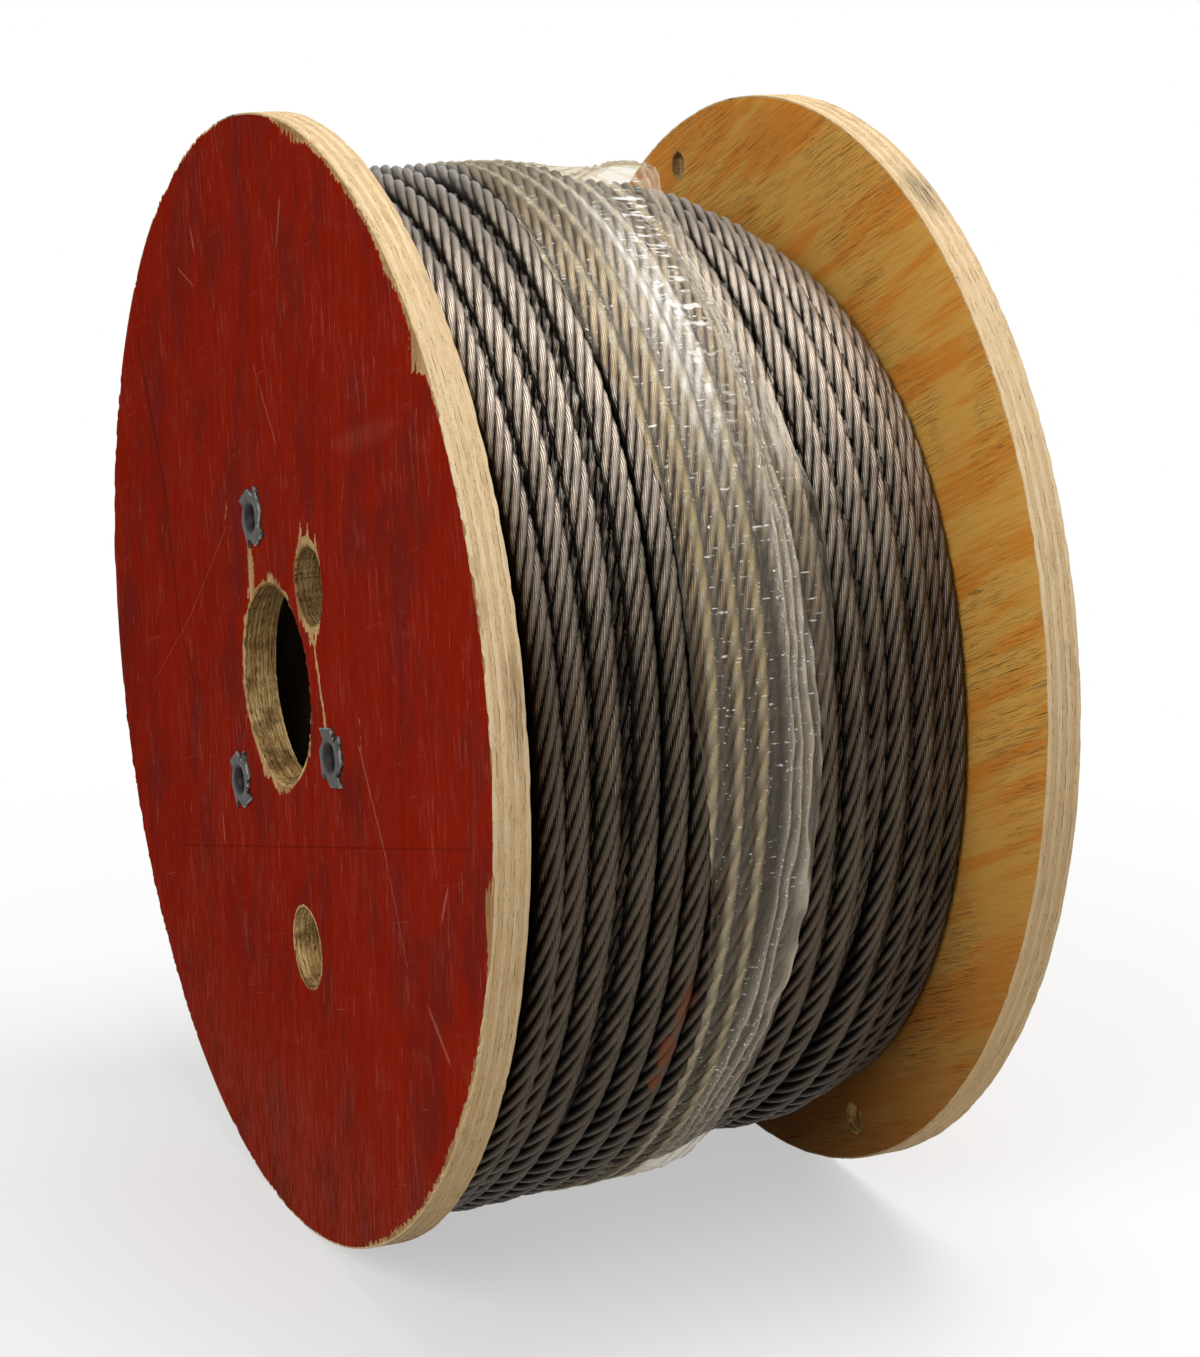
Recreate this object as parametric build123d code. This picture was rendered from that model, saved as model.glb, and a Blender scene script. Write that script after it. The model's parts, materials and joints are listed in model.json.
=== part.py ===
from build123d import *
import os
from math import cos, radians, sin, sqrt, tan

# A plywood reel of steel wire rope, lying on its two rims.
# The arbor runs along X, the painted flange is at -X, and Z is up.
# The origin is on the arbor's axis, midway between the flanges.

# Plywood flanges
FLANGE_D = 406.0
FLANGE_T = 12.7
RIM_EASE = 0.8
TRAVERSE = 185.0
ARBOR_D = 73.0

# Holes drilled in the flanges. Angles are seen from outside the painted face,
# from its right-hand side. The drive hole opens inside the barrel tube, the
# rope's start hole just outside it, and the rope's end is tied off at the rim.
DRIVE_HOLE_D = 28.0
DRIVE_HOLE_ANGLE = 50.0
DRIVE_HOLE_TO_BARREL = 1.5
START_HOLE_D = 30.0
START_HOLE_ANGLE = 287.5
START_HOLE_TO_BARREL = 1.0
END_HOLE_D = 11.0
END_HOLE_ANGLE = 114.5
END_HOLE_TO_RIM = 15.0
END_HOLES = 2

# Barrel tube, seated in a groove in each flange
BARREL_D = 158.0
BARREL_WALL = 6.0
GROOVE_DEPTH = 3.0
GROOVE_CLEARANCE = 0.2

# Wire rope. Each turn that lies open, from the painted flange: its spacing from the
# one before it in rope diameters, and how many layers it lies below the full winding,
# first at the top of the drum and then underneath it, where the loose turns hang lower.
ROPE_D = 10.0
WINDING_R = 189.0
WINDING_SAG = 6.0
TURN_CROWN = 4.4
FLANK_ANGLE = 58.0
DEEPEST_GROOVE = 7.5
BORE_CLEARANCE = 0.2
OPEN_TURNS = (
    (0.50, 0.98, -0.35),
    (0.95, 0.0, -0.06),
    (1.20, 0.0, -0.23),
    (1.18, 0.0, -0.16),
    (1.40, 0.0, -0.02),
    (1.05, 0.0, 0.0),
    (0.98, 0.0, 0.0),
    (0.94, 0.0, 0.0),
    (0.93, 0.18, 0.46),
    (1.22, 0.74, 1.0),
    (1.26, 0.92, 1.33),
    (1.18, 1.1, 1.5),
    (1.29, 1.5, 0.98),
    (1.42, 2.25, 0.92),
    (1.25, 3.12, 1.27),
    (0.90, 3.81, 1.85),
)
LAST_SPACING = 0.85

# Stretch film, pulled tight over these turns, counted from 0
FILM_T = 0.6
FILM_CLEARANCE = 0.3
FILM_TURNS = (5, 7, 8, 10)

# Tee-nuts pressed into the painted face, and the bolts that they take
BOLTS = 3
BOLT_TO_BARREL = 12.0
BOLT_ANGLE = 108.7
BOLT_D = 7.9
BOLT_CLEARANCE = 0.1
BOLT_INSET = 1.2
BOLT_HEAD_D = 18.3
BOLT_HEAD_H = 4.4
NECK_W = 8.0
NECK_L = 5.0
NECK_CLEARANCE = 0.1
NUT_TIP_D = 25.8
NUT_TIP_TURN = 88.0
NUT_SIDE_D = 21.4
NUT_SIDE_TURN = 39.0
NUT_NOTCH_D = 16.9
NUT_PLATE_T = 1.5
NUT_CUP_D = 12.4
NUT_BARREL_D = 9.8
NUT_BARREL_L = 9.0
PRONG_W = 3.4
PRONG_TIP_W = 0.8
PRONG_T = 1.2
PRONG_L = 6.5
PRONG_TO_NOTCH = 0.5
PRONG_CLEARANCE = 0.1
PRONGS = 4

INNER_FACE = TRAVERSE / 2
OUTER_FACE = INNER_FACE + FLANGE_T
LAYER_STEP = ROPE_D * sqrt(3) / 2
BARREL_R = BARREL_D / 2
BARREL_INSIDE_R = BARREL_R - BARREL_WALL
BOLT_REACH = BARREL_INSIDE_R - BOLT_TO_BARREL
DRIVE_HOLE_REACH = BARREL_INSIDE_R - DRIVE_HOLE_TO_BARREL - DRIVE_HOLE_D / 2
START_HOLE_REACH = BARREL_R + START_HOLE_TO_BARREL + START_HOLE_D / 2
END_HOLE_REACH = FLANGE_D / 2 - END_HOLE_TO_RIM


def on_flange(reach, angle):
    """Y and Z of a point on the painted face, at this distance and angle from the arbor."""
    return (-reach * cos(radians(angle)), reach * sin(radians(angle)))


def rod(x_start, x_end, diameter, centre=(0, 0)):
    """Solid round along X between two planes."""
    section = Plane.YZ.offset(x_start) * Pos(*centre) * Circle(diameter / 2)
    return extrude(section, x_end - x_start)


def bolt_places():
    """Angle and centre of each bolt on the bolt circle."""
    step = 360 / BOLTS
    angles = [BOLT_ANGLE + step * index for index in range(BOLTS)]
    return [(angle, on_flange(BOLT_REACH, angle)) for angle in angles]


def flange_blank(x_start):
    """Sawn plywood disc with eased rims and its arbor hole."""
    disc = rod(x_start, x_start + FLANGE_T, FLANGE_D)
    rims = disc.edges().filter_by(GeomType.CIRCLE)
    disc = chamfer(rims, RIM_EASE)
    return disc - rod(x_start, x_start + FLANGE_T, ARBOR_D)


def barrel_groove(x_start):
    """Shallow ring that one end of the barrel tube sits in."""
    x_end = x_start + GROOVE_DEPTH
    outside_d = 2 * (BARREL_R + GROOVE_CLEARANCE)
    inside_d = 2 * (BARREL_INSIDE_R - GROOVE_CLEARANCE)
    return rod(x_start, x_end, outside_d) - rod(x_start, x_end, inside_d)


def nut_prong(angle, spare):
    """One tapered prong, folded from the plate into the wood, with spare room all round."""
    root_half = PRONG_W / 2 + spare
    tip_half = PRONG_TIP_W / 2 + spare
    root = -OUTER_FACE
    tip = root + PRONG_L + spare
    outline = Polygon((root, -root_half), (root, root_half), (tip, tip_half), (tip, -tip_half), align=None)
    reach = NUT_NOTCH_D / 2 - PRONG_TO_NOTCH
    blade = extrude(Plane.XY * outline, PRONG_T / 2 + spare, both=True)
    return Rot(angle, 0, 0) * Pos(0, 0, reach - PRONG_T / 2) * blade


def nut_at(place, shape):
    """Moves a tee-nut shape from the arbor's axis to one bolt and turns it with the bolt circle."""
    angle, (y, z) = place
    return Pos(0, y, z) * Rot(-angle, 0, 0) * shape


def nut_prongs(spare):
    """The ring of prongs under one tee-nut's plate."""
    turn = 360 / PRONGS
    return [nut_prong(turn * index, spare) for index in range(PRONGS)]


def nut_plate():
    """Pinwheel plate with a notch where each prong was folded out and a pointed lobe after it."""
    corners = []
    for index in range(PRONGS):
        prong = 90 + 360 / PRONGS * index
        corners.append(on_flange(NUT_NOTCH_D / 2, prong))
        corners.append(on_flange(NUT_SIDE_D / 2, prong + NUT_SIDE_TURN))
        corners.append(on_flange(NUT_TIP_D / 2, prong + NUT_TIP_TURN))
    outline = Plane.YZ.offset(-OUTER_FACE - NUT_PLATE_T) * Polygon(*corners, align=None)
    return extrude(outline, NUT_PLATE_T, dir=(1, 0, 0))


def tee_nut(place):
    """Pinwheel plate on the painted face, cupped middle, threaded barrel and folded prongs."""
    nut = nut_plate() + rod(-OUTER_FACE, -OUTER_FACE + NUT_BARREL_L, NUT_BARREL_D)
    nut += nut_prongs(0)
    bore_d = BOLT_D + 2 * BOLT_CLEARANCE
    nut -= rod(-OUTER_FACE - NUT_PLATE_T, -OUTER_FACE + NUT_BARREL_L, bore_d)
    cup_depth = (NUT_CUP_D - bore_d) / 2
    cup = Cone(NUT_CUP_D / 2, bore_d / 2, cup_depth, align=(Align.CENTER, Align.CENTER, Align.MIN))
    nut -= Plane((-OUTER_FACE - NUT_PLATE_T, 0, 0), z_dir=(1, 0, 0)) * cup
    return nut_at(place, nut)


def through_bolt(place):
    """Round-headed bolt with a square neck, from the plain flange to its tee-nut."""
    x_end = -OUTER_FACE + BOLT_INSET
    shank_r = BOLT_D / 2
    head_rim = (OUTER_FACE, BOLT_HEAD_D / 2)
    head_top = (OUTER_FACE + BOLT_HEAD_H, 0)
    dome_r = (BOLT_HEAD_D**2 / 4 + BOLT_HEAD_H**2) / (2 * BOLT_HEAD_H)
    side = Polyline((x_end, 0), (x_end, shank_r), (OUTER_FACE, shank_r), head_rim)
    dome = RadiusArc(head_rim, head_top, dome_r)
    outline = side + dome + Line(head_top, (x_end, 0))
    bolt = revolve(Plane.XZ * make_face(outline), Axis.X)
    neck = Plane.YZ.offset(OUTER_FACE - NECK_L) * Rectangle(NECK_W, NECK_W)
    bolt += extrude(neck, NECK_L)
    return Pos(0, *place[1]) * bolt


def flange_red():
    """Painted flange, with the drive hole, the rope's start hole and the tee-nuts' seats."""
    flange = flange_blank(-OUTER_FACE) - barrel_groove(-INNER_FACE - GROOVE_DEPTH)
    drive = on_flange(DRIVE_HOLE_REACH, DRIVE_HOLE_ANGLE)
    start = on_flange(START_HOLE_REACH, START_HOLE_ANGLE)
    flange -= rod(-OUTER_FACE, -INNER_FACE, DRIVE_HOLE_D, drive)
    flange -= rod(-OUTER_FACE, -INNER_FACE, START_HOLE_D, start)
    for place in bolt_places():
        seat_d = NUT_BARREL_D + 2 * PRONG_CLEARANCE
        flange -= rod(-OUTER_FACE, -INNER_FACE, seat_d, place[1])
        flange -= [nut_at(place, prong) for prong in nut_prongs(PRONG_CLEARANCE)]
    return flange


def flange_plain():
    """Bare flange, with the bolts' square seats and two holes for tying off the rope."""
    flange = flange_blank(INNER_FACE) - barrel_groove(INNER_FACE)
    for _, centre in bolt_places():
        flange -= rod(INNER_FACE, OUTER_FACE, BOLT_D + 2 * BOLT_CLEARANCE, centre)
        seat_w = NECK_W + 2 * NECK_CLEARANCE
        seat = Plane.YZ.offset(OUTER_FACE - NECK_L) * Pos(*centre) * Rectangle(seat_w, seat_w)
        flange -= extrude(seat, NECK_L)
    for index in range(END_HOLES):
        centre = on_flange(END_HOLE_REACH, END_HOLE_ANGLE + 360 / END_HOLES * index)
        flange -= rod(INNER_FACE, OUTER_FACE, END_HOLE_D, centre)
    return flange


def barrel_tube():
    """Hollow tube between the two grooves."""
    end = INNER_FACE + GROOVE_DEPTH
    return rod(-end, end, BARREL_D) - rod(-end, end, 2 * BARREL_INSIDE_R)


def turn_crowns():
    """Place of each open turn along the arbor, with its crown's reach above and below the winding's axis."""
    pitch = TRAVERSE / (sum(turn[0] for turn in OPEN_TURNS) + LAST_SPACING)
    crowns = []
    place = -INNER_FACE
    for spacing, layers_top, layers_low in OPEN_TURNS:
        place += spacing * pitch
        crowns.append((place, WINDING_R - layers_top * LAYER_STEP, WINDING_R - layers_low * LAYER_STEP))
    return crowns


def drawn_through(rings, spare=0):
    """Solid through round sections, each given by its place and its reach above and below the axis."""
    sections = []
    for place, top, low in rings:
        middle = (top - low) / 2 - WINDING_SAG
        sections.append(Plane.YZ.offset(place) * Pos(0, middle) * Circle((top + low) / 2 + spare))
    return loft(sections, ruled=True)


def winding_end(place, crown):
    """Round section where the winding meets a flange, half a rope below its last crown."""
    return (place, crown[1] - ROPE_D / 2, crown[2] - ROPE_D / 2)


def groove_between(first, second):
    """Round section at the bottom of the groove between two turns, deeper where they stand apart."""
    flank = (second[0] - first[0] - TURN_CROWN) / 2
    depth = min(flank * tan(radians(FLANK_ANGLE)), DEEPEST_GROOVE)
    middle = (first[0] + second[0]) / 2
    return (middle, min(first[1], second[1]) - depth, min(first[2], second[2]) - depth)


def rope_winding():
    """The wound rope: one solid of round sections whose open turns step down to the plain flange."""
    crowns = turn_crowns()
    rings = [winding_end(-INNER_FACE, crowns[0])]
    for index, (place, top, low) in enumerate(crowns):
        if index > 0:
            rings.append(groove_between(crowns[index - 1], crowns[index]))
        rings += [(place - TURN_CROWN / 2, top, low), (place + TURN_CROWN / 2, top, low)]
    rings.append(winding_end(INNER_FACE, crowns[-1]))
    bore = rod(-INNER_FACE, INNER_FACE, BARREL_D + 2 * BORE_CLEARANCE)
    return drawn_through(rings) - bore


def stretch_film():
    """Thin band drawn tight over some of the open turns, down to the next layer."""
    crowns = turn_crowns()
    first = crowns[FILM_TURNS[0]]
    rings = [(first[0] - TURN_CROWN / 2, *first[1:])]
    for index in FILM_TURNS[1:]:
        place, top, low = crowns[index]
        rings.append((place + TURN_CROWN / 2, top, low))
    return drawn_through(rings, FILM_CLEARANCE + FILM_T) - drawn_through(rings, FILM_CLEARANCE)


def nodes():
    """Every piece by its name."""
    pieces = {
        "flange_red": flange_red(),
        "flange_plain": flange_plain(),
        "barrel_tube": barrel_tube(),
        "rope_winding": rope_winding(),
        "stretch_film": stretch_film(),
    }
    for number, place in enumerate(bolt_places(), start=1):
        pieces[f"tee_nut_{number}"] = tee_nut(place)
        pieces[f"through_bolt_{number}"] = through_bolt(place)
    return pieces


os.makedirs("parts", exist_ok=True)
for name, piece in nodes().items():
    export_step(piece, f"parts/{name}.step")
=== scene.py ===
import json
import math

import bmesh
import bpy
import numpy as np
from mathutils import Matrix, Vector
from mathutils.geometry import delaunay_2d_cdt


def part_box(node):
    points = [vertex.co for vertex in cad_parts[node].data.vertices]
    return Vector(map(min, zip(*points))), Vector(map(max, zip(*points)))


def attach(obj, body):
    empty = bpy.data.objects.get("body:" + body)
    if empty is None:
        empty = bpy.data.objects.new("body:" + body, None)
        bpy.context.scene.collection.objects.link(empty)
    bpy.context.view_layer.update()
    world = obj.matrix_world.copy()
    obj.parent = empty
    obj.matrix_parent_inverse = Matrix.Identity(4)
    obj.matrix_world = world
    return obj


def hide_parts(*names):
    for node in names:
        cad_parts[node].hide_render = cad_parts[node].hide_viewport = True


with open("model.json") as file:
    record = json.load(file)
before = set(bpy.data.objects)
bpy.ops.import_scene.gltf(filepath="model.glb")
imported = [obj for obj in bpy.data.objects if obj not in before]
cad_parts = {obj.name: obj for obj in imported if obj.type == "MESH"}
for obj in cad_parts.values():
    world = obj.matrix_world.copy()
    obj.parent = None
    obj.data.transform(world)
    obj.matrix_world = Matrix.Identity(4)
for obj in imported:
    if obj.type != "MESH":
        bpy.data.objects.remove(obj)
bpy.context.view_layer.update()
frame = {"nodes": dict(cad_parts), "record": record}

# The drum as it is packed: the arbor runs along X, the painted flange is at -X, Z is up.
# Lengths below are in millimetres. Meshes, lamps, the camera and look.x, look.y and look.z in the
# materials are in metres. LATTICE is the size of the noise table, and MOUNTS are the record's.
MM = 0.001
FULL_TURN = 2 * math.pi
LATTICE = 128
RED_LOW, RED_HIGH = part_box("flange_red")
PLAIN_LOW, PLAIN_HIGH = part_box("flange_plain")
RED_FACE = RED_LOW.x / MM
RED_INSIDE = RED_HIGH.x / MM
PLAIN_INSIDE = PLAIN_LOW.x / MM
PLAIN_FACE = PLAIN_HIGH.x / MM
FLANGE_R = RED_HIGH.z / MM
MOUNTS = {mount["name"]: mount for mount in frame["record"]["mounts"]}
ARBOR_R = MOUNTS["arbor_bore"]["dims"]["r_mm"]

# Plywood
PLIES = 7
RIM_EASE = 0.8
HOLE_EASE = 0.5
RIM_RELIEF = 0.16
HOLE_RELIEF = 0.3
TEAR_DEPTH = 0.9
RIM_STEPS = 1080
WALL_RINGS = 22
FLANGE_CREASE = 38
FACE_STEP = 5.0

# Wire rope: strands of fine wires, which lean part of the way back to the rope's own line.
# The layer below lies LAYER_DROP lower and keeps a share of the outer layer's exposure, so it is painted
# darker, as wear and painted shade. The rope starts and ends at these angles before and past its turns,
# and tucks in by these depths there.
ROPE_R = 5.0
STRANDS = 6
STRAND_R = 0.365 * ROPE_R
HELIX_R = ROPE_R - STRAND_R
LAY = 64.0
WIRES = 18
WIRE_LEAN = 0.6
SAG = 6.0
STRAND_ANGLES = (-126, -84, -42, 0, 42, 84, 126)
UNDER_ANGLES = (-120, -60, 0, 60, 120)
STEPS_PER_TURN = 280
UNDER_STEPS = 150
LAYER_DROP = 4.0
UNDER_SPAN = (60, 430)
UNDER_WEAR_AND_SHADE = 0.84
ROPE_FROM = 20.0
ROPE_PAST = 150.0
TUCK_FIRST = 9
TUCK_LAST = 10
CORE_DEPTH = 13.0
CORE_BORE_R = 81.0
# painted shade: the lower layers' exposure is set so low that they are painted near black
CORE_WEAR_AND_SHADE = 0.15

# The outer turns, from the painted flange to the plain one. For each turn: its place along
# the arbor at the top of the drum, its radius at the top and underneath, and the angles
# between which it crosses over to lie against its neighbour.
TURNS = np.array(
    (
        (-78.0, 184.0, 187.0, 190, 300),
        (-66.0, 184.0, 184.5, 95, 330),
        (-54.2, 184.0, 186.0, 115, 265),
        (-40.2, 184.0, 185.4, 120, 265),
        (-29.7, 184.0, 184.2, 120, 240),
        (-19.9, 184.0, 184.0, 120, 235),
        (-10.5, 183.8, 184.0, 120, 235),
        (-1.2, 182.4, 183.6, 120, 235),
        (11.0, 177.6, 180.0, 200, 300),
        (23.6, 176.0, 175.3, 190, 300),
        (35.4, 174.5, 172.5, 190, 300),
        (48.3, 171.0, 171.0, 170, 300),
        (62.5, 164.5, 175.5, 100, 270),
        (75.0, 157.0, 176.0, 110, 270),
        (84.0, 151.0, 173.0, 100, 260),
        (87.4, 149.0, 168.0, 230, 300),
    )
)
FIRST_X = -87.4
# Angles from which a turn goes to its lower radius and then to its neighbour's, and over how many.
# One turn dips: the place is an angle and its reach on both sides.
SINK_FROM, SINK_OVER = 160, 120
RISE_FROM, RISE_OVER = 290, 150
DIPPING_TURN = 11
DIP = 9.0
DIP_PLACE = (205, 75)
LOOSE_GAP = 11.0


def smooth(value):
    """Eases from 0 to 1."""
    value = np.clip(value, 0.0, 1.0)
    return value * value * (3.0 - 2.0 * value)


def hump(value):
    """Bell that is 1 at 0 and 0 beyond 1 on each side."""
    return np.clip(1.0 - np.square(value), 0.0, 1.0) ** 2


def near(angle, place):
    """Bell round an angle, with its reach."""
    return hump((angle - place[0]) / place[1])


def patches(across, along, seed):
    """Smooth noise between 0 and 1 on a lattice of unit cells."""
    table = np.random.default_rng(seed).random((LATTICE, LATTICE))
    cell_a = np.floor(across).astype(int)
    cell_b = np.floor(along).astype(int)
    part_a = smooth(across - cell_a)
    part_b = smooth(along - cell_b)

    def row(cell):
        first = table[cell_a % LATTICE, cell % LATTICE]
        return first * (1 - part_a) + table[(cell_a + 1) % LATTICE, cell % LATTICE] * part_a

    return row(cell_b) * (1 - part_b) + row(cell_b + 1) * part_b


def shown(mesh, materials, values):
    """Object of a mesh in the scene, with a material list and shading values at its points."""
    for material in materials:
        mesh.materials.append(material)
    for label, numbers in values.items():
        layer = mesh.attributes.new(label, "FLOAT", "POINT")
        layer.data.foreach_set("value", np.asarray(numbers, np.float32).ravel())
    mesh.shade_smooth()
    piece = bpy.data.objects.new(mesh.name, mesh)
    bpy.context.scene.collection.objects.link(piece)
    return piece


def mesh_piece(name, points, faces, materials, values):
    """A mesh of points in millimetres, with a material list and shading values at its points."""
    mesh = bpy.data.meshes.new(name)
    mesh.from_pydata((np.asarray(points) * MM).tolist(), [], faces)
    piece = shown(mesh, materials, values)
    mesh.update()
    return piece


def on_drum(piece, node):
    """The piece rides on the drum's one body and stands for this CAD node."""
    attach(piece, "root")
    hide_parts(node)


class Look:
    """One procedural material, built node by node."""

    def __init__(self, name):
        self.material = bpy.data.materials.new(name)
        self.material.use_nodes = True
        self.tree = self.material.node_tree
        self.shader = self.tree.nodes["Principled BSDF"]
        self.place = self.node("ShaderNodeTexCoord").outputs["Object"]
        split = self.node("ShaderNodeSeparateXYZ")
        self.join(self.place, split.inputs[0])
        self.x, self.y, self.z = split.outputs

    def node(self, kind, **settings):
        """A new node with these settings."""
        made = self.tree.nodes.new(kind)
        for key, value in settings.items():
            setattr(made, key, value)
        return made

    def join(self, value, socket):
        """Links a socket, or sets a plain value."""
        if isinstance(value, bpy.types.NodeSocket):
            self.tree.links.new(value, socket)
        else:
            socket.default_value = value

    def math(self, operation, first, second=0.0, third=0.0):
        """One arithmetic node."""
        made = self.node("ShaderNodeMath", operation=operation)
        for value, socket in zip((first, second, third), made.inputs):
            self.join(value, socket)
        return made.outputs[0]

    def times(self, first, second):
        """Product of two values."""
        return self.math("MULTIPLY", first, second)

    def total(self, first, share, second):
        """first times share, plus second."""
        return self.math("MULTIPLY_ADD", first, share, second)

    def mapped(self, shift, sizes, turn=0.0):
        """The place from a point, in units of these millimetres, turned about the arbor by degrees."""
        made = self.node("ShaderNodeMapping", vector_type="TEXTURE")
        self.join(self.place, made.inputs["Vector"])
        made.inputs["Location"].default_value = shift
        made.inputs["Rotation"].default_value = (math.radians(turn), 0, 0)
        made.inputs["Scale"].default_value = [size * MM for size in sizes]
        return made.outputs[0]

    def noise(self, sizes, turn=0.0, detail=3.0, rough=0.55, shift=(0, 0, 0)):
        """Noise whose features have these sizes in millimetres, turned about the arbor by degrees."""
        made = self.node("ShaderNodeTexNoise")
        self.join(self.mapped(shift, sizes, turn), made.inputs["Vector"])
        made.inputs["Scale"].default_value = 1.0
        made.inputs["Detail"].default_value = detail
        made.inputs["Roughness"].default_value = rough
        return made.outputs["Fac"]

    def band(self, value, low, high, bottom=0.0, top=1.0):
        """Smooth step of a value between two limits."""
        made = self.node("ShaderNodeMapRange", interpolation_type="SMOOTHSTEP")
        for number, socket in zip((value, low, high, bottom, top), made.inputs):
            self.join(number, socket)
        return made.outputs[0]

    def both(self, first, second):
        """Product of two smooth steps."""
        return self.times(self.band(*first), self.band(*second))

    def blend(self, share, first, second):
        """Mix of two colours."""
        made = self.node("ShaderNodeMix", data_type="RGBA")
        self.join(share, made.inputs[0])
        for value, socket in zip((first, second), (made.inputs[6], made.inputs[7])):
            self.join((*value, 1.0) if isinstance(value, tuple) else value, socket)
        return made.outputs[2]

    def lay(self, share, tint):
        """Lays a tint over the colour so far."""
        self.colour = self.blend(share, self.colour, tint)

    def stain(self, value, low, high, most, tint):
        """Lays a tint over the colour where a value passes from one limit to the other."""
        self.lay(self.band(value, low, high, 0.0, most), tint)

    def value(self, label):
        """A shading value stored at the mesh's points."""
        return self.node("ShaderNodeAttribute", attribute_name=label).outputs["Fac"]

    def length(self, vector):
        """Length of a vector."""
        made = self.node("ShaderNodeVectorMath", operation="LENGTH")
        self.join(vector, made.inputs[0])
        return made.outputs["Value"]

    def spot(self, centre, reach):
        """1 at a point given in millimetres, falling to 0 at these reaches from it."""
        return self.band(self.length(self.mapped([number * MM for number in centre], reach)), 1.0, 0.0)

    def line(self, start, end, half_width):
        """1 on a straight mark between two points of the painted face, given as right and up."""
        run = Vector(end) - Vector(start)
        length = run.length
        right, up = run.x / length / MM, run.y / length / MM
        y = self.math("ADD", self.y, start[0] * MM)
        z = self.math("SUBTRACT", self.z, start[1] * MM)
        along = self.total(y, -right, self.times(z, up))
        aside = self.math("ABSOLUTE", self.total(y, -up, self.times(z, -right)))
        from_middle = self.math("ABSOLUTE", self.math("SUBTRACT", along, length / 2))
        beyond = self.math("SUBTRACT", from_middle, length / 2)
        past = self.times(self.math("MAXIMUM", beyond, 0.0), 0.25)
        return self.band(self.math("ADD", aside, past), half_width, half_width * 0.2)

    def bump(self, height, depth):
        """Relief of this depth in millimetres."""
        made = self.node("ShaderNodeBump")
        made.inputs["Distance"].default_value = depth * MM
        self.join(height, made.inputs["Height"])
        return made.outputs[0]

    def mixed(self, share, first, second):
        """The material's surface becomes a mix of two shaders."""
        made = self.node("ShaderNodeMixShader")
        for value, socket in zip((share, first.outputs[0], second.outputs[0]), made.inputs):
            self.join(value, socket)
        self.join(made.outputs[0], self.tree.nodes["Material Output"].inputs["Surface"])

    def done(self, rough, normal=None, metal=0.0, shine=0.0):
        """Sets the shader's sockets and gives the material."""
        sockets = {"Base Color": self.colour, "Roughness": rough, "Metallic": metal}
        sockets["Specular IOR Level"] = shine
        if normal:
            sockets["Normal"] = normal
        for label, value in sockets.items():
            self.join(value, self.shader.inputs[label])
        return self.material


def turn_at(row, angle):
    """Place along the arbor and radius of one outer turn, for angles of 90 (top) to 450 degrees."""
    x_top, r_top, r_low, start, end = np.moveaxis(TURNS[row], -1, 0)
    before = np.maximum(row - 1, 0)
    x_next = np.where(row > 0, TURNS[before, 0], FIRST_X)
    r_next = np.where(row > 0, TURNS[before, 1], r_top)
    across = smooth((angle - start) / (end - start))
    radius = r_top + (r_low - r_top) * smooth((angle - SINK_FROM) / SINK_OVER)
    radius = radius + (r_next - r_low) * smooth((angle - RISE_FROM) / RISE_OVER)
    radius = radius - np.where(row == DIPPING_TURN, DIP, 0.0) * near(angle, DIP_PLACE)
    return x_top + (x_next - x_top) * across, radius


def round_drum(x, radius, angle):
    """Points at this place along the arbor, radius and angle in degrees round the sagging winding."""
    turn = np.radians(angle)
    return np.stack([x, radius * np.cos(turn), radius * np.sin(turn) - SAG], -1)


def unit(vectors):
    """Vectors of length one."""
    return vectors / np.linalg.norm(vectors, axis=-1, keepdims=True)


def strand_tubes(centre, outward, along, section, part=slice(None)):
    """The strands round a stretch of rope: points, faces, and the wires' phase and exposure."""
    forward = unit(np.gradient(centre, axis=0))
    aside = unit(np.cross(forward, outward))
    upward = np.cross(aside, forward)
    spin = FULL_TURN * (along[:, None] / LAY + np.arange(STRANDS) / STRANDS)
    arm = np.cos(spin)[..., None] * upward[:, None] + np.sin(spin)[..., None] * aside[:, None]
    middle = centre[:, None] + HELIX_R * arm
    strand_forward = unit(np.gradient(middle, axis=0))
    strand_aside = unit(np.cross(strand_forward, arm))[part]
    strand_arm = np.cross(strand_aside, strand_forward[part])
    around = np.radians(np.array(section, float))[:, None]
    normal = np.cos(around) * strand_arm[:, :, None] + np.sin(around) * strand_aside[:, :, None]
    points = middle[part, :, None] + STRAND_R * normal
    slope = WIRE_LEAN * WIRES * ROPE_R / (LAY * STRAND_R)
    wire = WIRES * around[:, 0] / FULL_TURN + slope * along[part, None, None]
    out = upward[part, None, None]
    height = ((points - centre[part, None, None]) * out).sum(-1) / ROPE_R
    # exposure sets both the rope's wear and its painted shade: it falls off on the strands' sides and low
    # down between the turns
    exposed = ((normal * out).sum(-1) * 0.5 + 0.5) * (0.58 + 0.42 * smooth((height + 0.12) / 0.7))
    steps, strands, sides = points.shape[:3]
    index = np.arange(points.size // 3).reshape(steps, strands, sides)
    beside = np.roll(index, -1, axis=2)
    quads = np.stack([index[:-1], index[1:], beside[1:], beside[:-1]], -1).reshape(-1, 4)
    first, last, _ = part.indices(len(centre))
    caps = index[0].tolist() if first == 0 else []
    caps += index[-1, :, ::-1].tolist() if last == len(centre) else []
    values = {"wire": np.broadcast_to(wire, exposed.shape), "exposed": exposed}
    return points.reshape(-1, 3), quads.tolist() + caps, values


def rope_line(x, radius, angle):
    """Centre line of a rope on the winding, and its outward side."""
    centre = round_drum(x, radius, angle)
    return centre, unit(centre - round_drum(x, radius * 0, angle))


def arc_length(points):
    """Distance along a line of points."""
    steps = np.linalg.norm(np.diff(points, axis=0), axis=1)
    return np.concatenate([[0.0], np.cumsum(steps)])


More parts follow.
